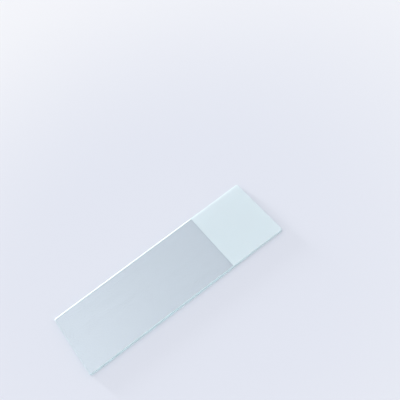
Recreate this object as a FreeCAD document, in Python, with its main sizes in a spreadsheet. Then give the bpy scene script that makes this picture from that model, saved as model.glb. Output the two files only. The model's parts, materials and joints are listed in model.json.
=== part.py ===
import FreeCAD, Part
import os
import Sketcher

# A microscope slide: one rectangular plate of float glass with ground edges and one frosted end.
# It lies flat. The origin is the middle of its underside, +X runs along its length to the frosted
# end, +Y across its width, and +Z up through its thickness. Sizes are in millimetres.

SIZES = [
    ("slide_length", 76.2, "long side of the plate, three inches"),
    ("slide_width", 25.4, "short side of the plate, one inch"),
    ("glass_thickness", 1.0, "thickness of the glass sheet"),
    ("corner_cut", 0.4, "leg of the small 45 degree cut that dubs each corner"),
    ("edge_bevel", 0.1, "leg of the fine bevel ground along every long and short edge"),
    ("frost_length", 20.0, "how far the frosting reaches in from the end of the plate"),
    ("frost_depth", 0.02, "depth of glass that the etch takes off the frosted face"),
]


def make_size_sheet(doc):
    """The driving sizes, one to a row: name, value under an alias of that name, and what it is."""
    sheet = doc.addObject("Spreadsheet::Sheet", "Sizes")
    for row, (name, value, meaning) in enumerate(SIZES, start=1):
        sheet.set(f"A{row}", name)
        sheet.set(f"B{row}", str(value))
        sheet.setAlias(f"B{row}", name)
        sheet.set(f"C{row}", meaning)
    doc.recompute()
    return sheet


def base_plane(body):
    """The body's own XY plane, which is the underside of the glass."""
    planes = [part for part in body.Origin.OriginFeatures if part.Role == "XY_Plane"]
    return planes[0]


def add_sketch(body, name):
    """An empty sketch on the underside of the glass."""
    sketch = body.newObject("Sketcher::SketchObject", name)
    sketch.AttachmentSupport = [(base_plane(body), "")]
    sketch.MapMode = "FlatFace"
    return sketch


def draw_rectangle(sketch, left, front, right, back):
    """Four joined lines, numbered front 0, right 1, back 2 and left 3, each level or upright."""
    corners = [(left, front), (right, front), (right, back), (left, back)]
    points = [FreeCAD.Vector(across, along, 0) for across, along in corners]
    for number, start in enumerate(points):
        end = points[(number + 1) % len(points)]
        sketch.addGeometry(Part.LineSegment(start, end), False)
    for number in range(len(points)):
        following = (number + 1) % len(points)
        sketch.addConstraint(Sketcher.Constraint("Coincident", number, 2, following, 1))
    for level in (0, 2):
        sketch.addConstraint(Sketcher.Constraint("Horizontal", level))
    for upright in (1, 3):
        sketch.addConstraint(Sketcher.Constraint("Vertical", upright))


def bind_distance(sketch, kind, first, second, name, value, formula):
    """A named distance between two sketch points, which follows a formula of the sheet's sizes."""
    index = sketch.addConstraint(Sketcher.Constraint(kind, *first, *second, value))
    sketch.renameConstraint(index, name)
    sketch.setExpression(f"Constraints.{name}", formula)


def is_upright(edge):
    box = edge.BoundBox
    return box.ZLength > box.XLength + box.YLength


def edge_names(shape, wanted):
    """The names of the edges of a shape that pass a test."""
    numbered = enumerate(shape.Edges, start=1)
    return [f"Edge{number}" for number, edge in numbered if wanted(edge)]


def add_chamfer(body, name, edges, formula):
    """A 45 degree bevel along some edges of what the body is so far."""
    so_far = body.Tip
    chamfer = body.newObject("PartDesign::Chamfer", name)
    chamfer.Base = (so_far, edges)
    chamfer.setExpression("Size", formula)


def cut_blank(doc, body, sizes):
    """The plate as scored and snapped from the sheet: a rectangle about the origin."""
    half_length = sizes.slide_length / 2
    half_width = sizes.slide_width / 2
    outline = add_sketch(body, "blank_outline")
    draw_rectangle(outline, -half_length, -half_width, half_length, half_width)
    outline.addConstraint(Sketcher.Constraint("Symmetric", 0, 1, 1, 2, -1, 1))
    bind_distance(outline, "DistanceX", (0, 1), (0, 2), "long_side",
                  sizes.slide_length, "Sizes.slide_length")
    bind_distance(outline, "DistanceY", (1, 1), (1, 2), "short_side",
                  sizes.slide_width, "Sizes.slide_width")
    blank = body.newObject("PartDesign::Pad", "glass_blank")
    blank.Profile = outline
    blank.setExpression("Length", "Sizes.glass_thickness")
    doc.recompute()


def grind_edges(doc, body):
    """Dub the four corners, then run a fine bevel round the upper and lower rims."""
    corners = edge_names(body.Shape, is_upright)
    add_chamfer(body, "dubbed_corners", corners, "Sizes.corner_cut")
    doc.recompute()
    rims = edge_names(body.Shape, lambda edge: not is_upright(edge))
    add_chamfer(body, "ground_rims", rims, "Sizes.edge_bevel")
    doc.recompute()


def frost_end(doc, body, sizes):
    """Etch the upper face over the whole width, from the +X end up to a straight line."""
    half_length = sizes.slide_length / 2
    half_width = sizes.slide_width / 2
    area = add_sketch(body, "frosted_area")
    area.setExpression(".AttachmentOffset.Base.z", "Sizes.glass_thickness")
    draw_rectangle(area, half_length - sizes.frost_length, -half_width, half_length, half_width)
    bind_distance(area, "DistanceX", (-1, 1), (0, 2), "end_of_plate",
                  half_length, "Sizes.slide_length / 2")
    bind_distance(area, "DistanceX", (0, 1), (0, 2), "frost_reach",
                  sizes.frost_length, "Sizes.frost_length")
    bind_distance(area, "DistanceY", (0, 2), (-1, 1), "front_side",
                  half_width, "Sizes.slide_width / 2")
    bind_distance(area, "DistanceY", (1, 1), (1, 2), "frost_width",
                  sizes.slide_width, "Sizes.slide_width")
    etch = body.newObject("PartDesign::Pocket", "etched_face")
    etch.Profile = area
    etch.setExpression("Length", "Sizes.frost_depth")
    doc.recompute()


def make_glass_slide(doc, sizes):
    body = doc.addObject("PartDesign::Body", "glass_slide")
    body.Label = "glass_slide"
    cut_blank(doc, body, sizes)
    grind_edges(doc, body)
    volume_before_etch = body.Shape.Volume
    frost_end(doc, body, sizes)
    if body.Shape.Volume >= volume_before_etch:
        raise SystemExit("the etch took no glass off")
    body.Placement = FreeCAD.Placement()
    return body


def check_model(doc, bodies):
    """Stop before anything is written if a feature failed or a piece is not one sound solid."""
    for item in doc.Objects:
        if "Invalid" in item.State or "Error" in item.State:
            raise SystemExit(f"{item.Name} failed: {item.State}")
    for body in bodies:
        if body.Shape.isNull() or not body.Shape.isValid() or len(body.Shape.Solids) != 1:
            raise SystemExit(f"{body.Label} is not one sound solid")


def write_parts(bodies):
    os.makedirs("parts", exist_ok=True)
    for body in bodies:
        body.Shape.exportStep(f"parts/{body.Label}.step")
        box = body.Shape.BoundBox
        print(f"{body.Label}: {box.XLength:.3f} x {box.YLength:.3f} x {box.ZLength:.3f} mm,"
              f" {body.Shape.Volume:.2f} cubic mm")


doc = FreeCAD.newDocument("MicroscopeSlide")
sizes = make_size_sheet(doc)
bodies = [make_glass_slide(doc, sizes)]
doc.recompute()
check_model(doc, bodies)
write_parts(bodies)
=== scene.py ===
import json
import math
import random

import bmesh
import bpy
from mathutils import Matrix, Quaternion, Vector


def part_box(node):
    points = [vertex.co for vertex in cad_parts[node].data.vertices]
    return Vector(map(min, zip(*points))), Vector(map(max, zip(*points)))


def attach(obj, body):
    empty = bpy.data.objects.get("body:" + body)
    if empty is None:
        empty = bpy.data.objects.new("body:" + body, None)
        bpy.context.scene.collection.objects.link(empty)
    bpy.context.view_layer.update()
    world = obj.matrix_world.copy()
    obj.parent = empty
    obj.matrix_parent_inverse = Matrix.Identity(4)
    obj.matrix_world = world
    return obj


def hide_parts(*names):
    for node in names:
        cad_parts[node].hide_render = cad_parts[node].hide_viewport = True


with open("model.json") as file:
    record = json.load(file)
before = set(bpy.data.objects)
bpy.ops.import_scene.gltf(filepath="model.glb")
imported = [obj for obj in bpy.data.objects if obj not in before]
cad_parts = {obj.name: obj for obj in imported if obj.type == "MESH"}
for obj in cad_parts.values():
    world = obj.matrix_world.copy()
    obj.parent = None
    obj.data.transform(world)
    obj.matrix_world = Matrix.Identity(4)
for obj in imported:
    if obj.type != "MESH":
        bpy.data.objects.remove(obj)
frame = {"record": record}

scene = bpy.context.scene
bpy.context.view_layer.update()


# ---------------------------------------------------------------------------------------------
# The plate. One piece of soda-lime float glass, scored and snapped from a sheet. Its corners are
# dubbed, and a fine belt has ground its edges matt and run a bevel round both rims. One end of
# the upper face is etched to a fine white tooth, up to a straight stencil line.

MM = 0.001
low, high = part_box("glass_slide")
mounts = {mount["name"]: Vector(mount["pos_m"]) for mount in frame["record"]["mounts"]}
frost_line = 2 * mounts["label_face"].x - high.x     # the etched face is centred on its mount
etched_top = mounts["label_face"].z
corner_cut = 0.4 * MM
bevel = 0.1 * MM
bevel_waver = 0.06              # the bevel's width strays by up to this share of it
deepest_break = 2 * bevel       # no bevel or chip reaches further down the side than this
chip_count = 16                 # chips on each rim
chip_reach = 0.12 * MM          # how much further in than the bevel the deepest chip goes
shallowest_chip = 0.3           # as a share of the deepest
chip_half_lengths = (1, 1, 2, 3)        # in rim points: half the chips are the shortest
ragged_depth = 0.6              # a chip keeps at least this share of its smooth depth
step_run = 0.02 * MM            # the etched step slopes over this length
stencil_waver = 0.03 * MM       # how far the etch strays from a straight line
pitch = 0.25 * MM               # spacing of the rim's points

chance = random.Random(7)


def outline_corners():
    """The eight corners of the plate seen from above, going round by the left hand."""
    left, right, front, back = low.x, high.x, low.y, high.y
    cut = corner_cut
    return [
        Vector((left + cut, front)), Vector((right - cut, front)),
        Vector((right, front + cut)), Vector((right, back - cut)),
        Vector((right - cut, back)), Vector((left + cut, back)),
        Vector((left, back - cut)), Vector((left, front + cut)),
    ]


def inward(before, here, after):
    """The way a corner moves when both of its sides move in by one unit."""
    first = (here - before).normalized()
    second = (after - here).normalized()
    first_in = Vector((-first.y, first.x))
    second_in = Vector((-second.y, second.x))
    return (first_in + second_in) / (1 + first_in.dot(second_in))


def side_stops(start, end):
    """Distances along one side at which the rim has a point, with a pair at the etched step."""
    length = (end - start).length
    count = max(1, round(length / pitch))
    stops = [length * number / count for number in range(count)]
    if min(start.x, end.x) < frost_line < max(start.x, end.x):
        run = (end - start).x / length
        crossing = (frost_line - start.x) / run
        stops = [stop for stop in stops if abs(stop - crossing) > pitch / 2]
        stops += [crossing - step_run / 2, crossing + step_run / 2]
    return sorted(stops)


def rim_points():
    """Each point of the rim as its place and the way that leads in from it."""
    corners = outline_corners()
    points = []
    for number, start in enumerate(corners):
        end = corners[(number + 1) % len(corners)]
        along = (end - start).normalized()
        straight_in = Vector((-along.y, along.x))
        mitre = inward(corners[number - 1], start, end)
        for stop in side_stops(start, end):
            points.append((start + along * stop, mitre if stop == 0 else straight_in))
    return points


def rim_wear(count):
    """How far the bevel reaches in at each rim point: a slight waver, and a few small chips."""
    wear = [bevel * (1 + bevel_waver * chance.uniform(-1, 1)) for _ in range(count)]
    for _ in range(chip_count):
        middle = chance.randrange(count)
        half_length = chance.choice(chip_half_lengths)
        depth = chip_reach * chance.uniform(shallowest_chip, 1)
        for offset in range(-half_length, half_length + 1):
            fade = 1 - (offset / (half_length + 1)) ** 2
            wear[(middle + offset) % count] += depth * fade * chance.uniform(ragged_depth, 1)
    return wear


def ring(mesh, points, inset, height):
    """One closed loop of vertices: the rim moved in and set at a height, point by point."""
    made = []
    for (place, way_in), reach, level in zip(points, inset, height):
        moved = place + way_in * reach
        made.append(mesh.verts.new((moved.x, moved.y, level)))
    return made


def band(mesh, lower, upper):
    """The faces between two rings."""
    faces = []
    for number in range(len(lower)):
        after = (number + 1) % len(lower)
        corners = (lower[number], lower[after], upper[after], upper[number])
        faces.append(mesh.faces.new(corners))
    return faces


def stencil_lips(mesh, near_clear, near_etched, far_clear, far_etched):
    """The upper and lower lips of the etched step, from the near rim across to the far one."""
    near, far = near_clear.co.y, far_clear.co.y
    steps = round((far - near) / pitch)
    clear_lip, etched_lip = [near_clear], [near_etched]
    for number in range(1, steps):
        across = near + (far - near) * (number / steps)
        edge = frost_line + stencil_waver * chance.uniform(-1, 1)
        clear_lip.append(mesh.verts.new((edge - step_run / 2, across, high.z)))
        etched_lip.append(mesh.verts.new((edge + step_run / 2, across, etched_top)))
    return clear_lip + [far_clear], etched_lip + [far_etched]


def upper_faces(mesh, rim):
    """Closes the upper rim with the etched step, the etched face and the clear face."""
    # The rim falls to the etch after one of its points, and rises again after another.
    count = len(rim)
    clear = [vert.co.z > (high.z + etched_top) / 2 for vert in rim]
    falls = [n for n in range(count) if clear[n] and not clear[(n + 1) % count]][0]
    rises = [n for n in range(count) if not clear[n] and clear[(n + 1) % count]][0]
    first_etched, first_clear = (falls + 1) % count, (rises + 1) % count
    clear_lip, etched_lip = stencil_lips(
        mesh, rim[falls], rim[first_etched], rim[first_clear], rim[rises])
    etched = []
    for number in range(len(clear_lip) - 1):
        after = number + 1
        corners = (clear_lip[number], etched_lip[number], etched_lip[after], clear_lip[after])
        etched.append(mesh.faces.new(corners))

    def between(first, last):
        """Rim vertices from one number to another, going round by the left hand."""
        span = (last - first) % count
        return [rim[(first + offset) % count] for offset in range(span + 1)]

    etched.append(mesh.faces.new(between(first_etched, rises) + etched_lip[-2:0:-1]))
    mesh.faces.new(between(first_clear, falls) + clear_lip[1:-1])
    return etched


def plate_mesh():
    """The whole plate as one closed skin, with its etched and ground faces marked."""
    mesh = bmesh.new()
    for name in ("etched", "ground", "bevelled"):
        mesh.faces.layers.float.new(name)
    points = rim_points()
    count = len(points)
    under_wear, upper_wear = rim_wear(count), rim_wear(count)
    flush = [0.0] * count
    top = [etched_top if place.x > frost_line else high.z for place, _ in points]
    side_foot = [low.z + min(reach, deepest_break) for reach in under_wear]
    side_head = [level - min(reach, deepest_break) for level, reach in zip(top, upper_wear)]
    rings = [
        ring(mesh, points, under_wear, [low.z] * count),
        ring(mesh, points, flush, side_foot),
        ring(mesh, points, flush, side_head),
        ring(mesh, points, upper_wear, top),
    ]
    lower_bevel, side, upper_bevel = [band(mesh, *pair) for pair in zip(rings, rings[1:])]
    mesh.faces.new(list(reversed(rings[0])))
    etched = upper_faces(mesh, rings[-1])
    mesh.normal_update()
    finishes = (("etched", etched), ("ground", lower_bevel + side), ("bevelled", upper_bevel))
    for name, faces in finishes:
        layer = mesh.faces.layers.float[name]
        for face in faces:
            face[layer] = 1.0
    data = bpy.data.meshes.new("glass_plate")
    mesh.to_mesh(data)
    mesh.free()
    return data


class Value:
    """What comes out of a shader node, so that a mask or a pattern reads as plain arithmetic."""

    def __init__(self, shader, socket):
        self.shader = shader
        self.socket = socket

    def maths(self, operation, *terms):
        inputs = dict(enumerate(terms))
        return self.shader.node("ShaderNodeMath", {"operation": operation}, inputs)

    def __add__(self, other):
        return self.maths("ADD", self, other)

    def __mul__(self, other):
        return self.maths("MULTIPLY", self, other)

    def __radd__(self, other):
        return self.maths("ADD", other, self)

    def __rsub__(self, other):
        return self.maths("SUBTRACT", other, self)

    def __rmul__(self, other):
        return self.maths("MULTIPLY", other, self)


class Shader:
    """A material's or the world's nodes."""

    def __init__(self, owner):
        owner.use_nodes = True
        self.tree = owner.node_tree
        self.tree.nodes.clear()

    def node(self, kind, settings=None, inputs=None, output=0):
        """Adds a node, makes its settings, then gives its sockets their values or links."""
        made = self.tree.nodes.new(kind)
        for name, setting in (settings or {}).items():
            setattr(made, name, setting)
        for name, given in (inputs or {}).items():
            if isinstance(given, Value):
                self.tree.links.new(given.socket, made.inputs[name])
            else:
                made.inputs[name].default_value = given
        return Value(self, made.outputs[output]) if made.outputs else None


def mottle(shader, place, stretch, detail):
    """Random grain from 0 to 1. Stretch is the grains to a metre along X, Y and Z.

    Noise keeps mostly between 0.3 and 0.7, so that stretch of it is spread over the whole range.
    """
    scaled = shader.node("ShaderNodeVectorMath", {"operation": "MULTIPLY"}, {0: place, 1: stretch})
    noise = shader.node("ShaderNodeTexNoise", {}, {"Vector": scaled, "Scale": 1.0, "Detail": detail})
    return shader.node("ShaderNodeMapRange", {}, {"Value": noise, "From Min": 0.3, "From Max": 0.7})


def float_glass():
    """Faintly blue-green glass, polished where clear and whitened where etched or ground."""
    material = bpy.data.materials.new("float_glass")
    shader = Shader(material)
    place = shader.node("ShaderNodeTexCoord", output="Object")
    etched, ground, bevelled = [
        shader.node("ShaderNodeAttribute", {"attribute_name": name}, output="Fac")
        for name in ("etched", "ground", "bevelled")
    ]
    worked = ground + bevelled
    clear = (1 - etched) * (1 - worked)
    wipe = mottle(shader, place, (60, 420, 60), 4)              # marks of a cloth, along the plate
    grain = mottle(shader, place, (6000, 6000, 6000), 3)        # the tooth of the etch
    cloud = mottle(shader, place, (160, 160, 160), 4)           # slow changes over the etch
    score = mottle(shader, place, (300, 300, 7000), 3)          # the belt's lines along the edges
    roughness = (
        clear * (0.035 * wipe)
        + etched * (0.58 + 0.10 * cloud)
        + worked * (0.65 + 0.12 * score)
    )
    relief = shader.node("ShaderNodeBump", {}, {
        "Strength": 0.8, "Distance": 0.05 * MM, "Height": etched * grain + worked * score})
    glass = shader.node("ShaderNodeBsdfPrincipled", {}, {
        "Base Color": (0.864, 0.90, 0.905, 1),
        "Roughness": roughness,
        "IOR": 1.52,
        "Transmission Weight": 1.0,
        "Normal": relief,
    })
    white = shader.node("ShaderNodeBsdfPrincipled", {}, {
        "Base Color": (0.86, 0.965, 1.0, 1),
        "Roughness": 0.7,
        "Normal": relief,
    })
    glow = shader.node("ShaderNodeBsdfTranslucent", {}, {
        "Color": (0.93, 0.96, 0.96, 1), "Normal": relief})

    # How much of each finish is white rather than clear, then how much light seeps through it.
    whiteness = (
        clear * (0.010 * wipe * wipe)
        + etched * (0.63 + 0.06 * cloud + 0.24 * grain)
        + bevelled * (0.55 + 0.20 * score)
        + ground * 0.9
    )
    seeping = ground * (0.56 + 0.26 * score) + 0.2 * etched
    matt = shader.node("ShaderNodeMixShader", {}, {0: whiteness, 1: glass, 2: white})
    surface = shader.node("ShaderNodeMixShader", {}, {0: seeping, 1: matt, 2: glow})
    tint = shader.node("ShaderNodeVolumeAbsorption", {}, {
        "Color": (0.12, 0.70, 0.72, 1), "Density": 12.0})
    shader.node("ShaderNodeOutputMaterial", {}, {"Surface": surface, "Volume": tint})
    return material


plate = bpy.data.objects.new("slide_plate", plate_mesh())
scene.collection.objects.link(plate)
plate.data.materials.append(float_glass())
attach(plate, "root")
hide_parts("glass_slide")


# ---------------------------------------------------------------------------------------------
# The floor. A plain pale table top under the plate, which keeps its shadow, and pales away from
# it to white. A hair of air lies between the glass and the table, as it does under a real one.

air_gap = 0.04 * MM
floor_half = 3.0
paling_starts = 0.04            # distances from the middle of the plate
paling_ends = 0.19

floor_data = bpy.data.meshes.new("table_top")
sheet = bmesh.new()
bmesh.ops.create_grid(sheet, x_segments=1, y_segments=1, size=floor_half)
sheet.to_mesh(floor_data)
sheet.free()
floor = bpy.data.objects.new("table_top", floor_data)
floor.location.z = low.z - air_gap
scene.collection.objects.link(floor)
table_paint = bpy.data.materials.new("table_paint")
shader = Shader(table_paint)
place = shader.node("ShaderNodeTexCoord", output="Object")
from_plate = shader.node(
    "ShaderNodeVectorMath", {"operation": "LENGTH"}, {0: place}, output="Value")
paling = shader.node("ShaderNodeMapRange", {"interpolation_type": "SMOOTHSTEP"}, {
    "Value": from_plate, "From Min": paling_starts, "From Max": paling_ends})
floor_colour = shader.node("ShaderNodeMix", {"data_type": "RGBA"}, {
    "Factor": paling,
    "A": (0.755, 0.768, 0.832, 1),
    "B": (0.90, 0.893, 0.905, 1),
}, output="Result")
paint = shader.node("ShaderNodeBsdfPrincipled", {}, {
    "Base Color": floor_colour, "Roughness": 1.0, "Specular IOR Level": 0.0})
shader.node("ShaderNodeOutputMaterial", {}, {"Surface": paint})
floor_data.materials.append(table_paint)


# ---------------------------------------------------------------------------------------------
# The light. A pale room all round with a soft patch of window light at the back left, and a low
# lamp behind the plate, whose light seeps through the ground edges and makes them shine. It ends
# after two bounces, because what goes on through the plate would only speckle the near edge.

room_level = 0.93
window_level = 2.2              # how much brighter the middle of the window patch is
window_tightness = 50.0         # the higher this power, the smaller the patch


def way_towards(turn, lift):
    """The way to something from the plate: straight back, turned to the left and lifted."""
    flat = math.cos(lift)
    return Vector((-math.sin(turn) * flat, math.cos(turn) * flat, math.sin(lift)))


world = bpy.data.worlds.new("pale_room")
scene.world = world
shader = Shader(world)
way = shader.node("ShaderNodeTexCoord", output="Generated")
window_way = way_towards(math.radians(15), math.radians(57))
facing = shader.node(
    "ShaderNodeVectorMath", {"operation": "DOT_PRODUCT"}, {0: way, 1: window_way}, output="Value")
patch = facing.maths("POWER", facing.maths("MAXIMUM", facing, 0.0), window_tightness)
room = shader.node("ShaderNodeBackground", {}, {
    "Color": (0.95, 0.97, 1.0, 1), "Strength": room_level + window_level * patch})
shader.node("ShaderNodeOutputWorld", {}, {"Surface": room})

low_lamp = bpy.data.lights.new("low_lamp", "SUN")
low_lamp.energy = 2.9
low_lamp.angle = math.radians(6)
low_lamp.cycles.max_bounces = 2
low_light = bpy.data.objects.new("low_lamp", low_lamp)
lamp_way = way_towards(math.radians(14), math.radians(4))
low_light.rotation_mode = "QUATERNION"
low_light.rotation_quaternion = (-lamp_way).to_track_quat("-Z", "Y")
scene.collection.objects.link(low_light)


# ---------------------------------------------------------------------------------------------
# The camera. It looks down on the plate from the front, a little from the left, and is rolled so
# that the frosted end is up and away. Light may bounce often enough to find its way out of glass.

aim = Vector((0.02508, 0.01734, 0.0))
heading = math.radians(15.21)
tilt_down = math.radians(51.88)
roll = math.radians(-24.24)
distance = 0.2692
most_bounces = 48

look = way_towards(-heading, -tilt_down)
camera_data = bpy.data.cameras.new("camera")
camera_data.lens = 70.1
camera_data.sensor_width = 36.0
camera_data.clip_start = 0.01
camera = bpy.data.objects.new("camera", camera_data)
camera.location = aim - look * distance
camera.rotation_mode = "QUATERNION"
camera.rotation_quaternion = Quaternion(look, -roll) @ look.to_track_quat("-Z", "Y")
scene.collection.objects.link(camera)
scene.camera = camera

scene.view_settings.view_transform = "Standard"
scene.cycles.max_bounces = most_bounces
scene.cycles.glossy_bounces = most_bounces
scene.cycles.transmission_bounces = most_bounces
scene.cycles.blur_glossy = 0.0
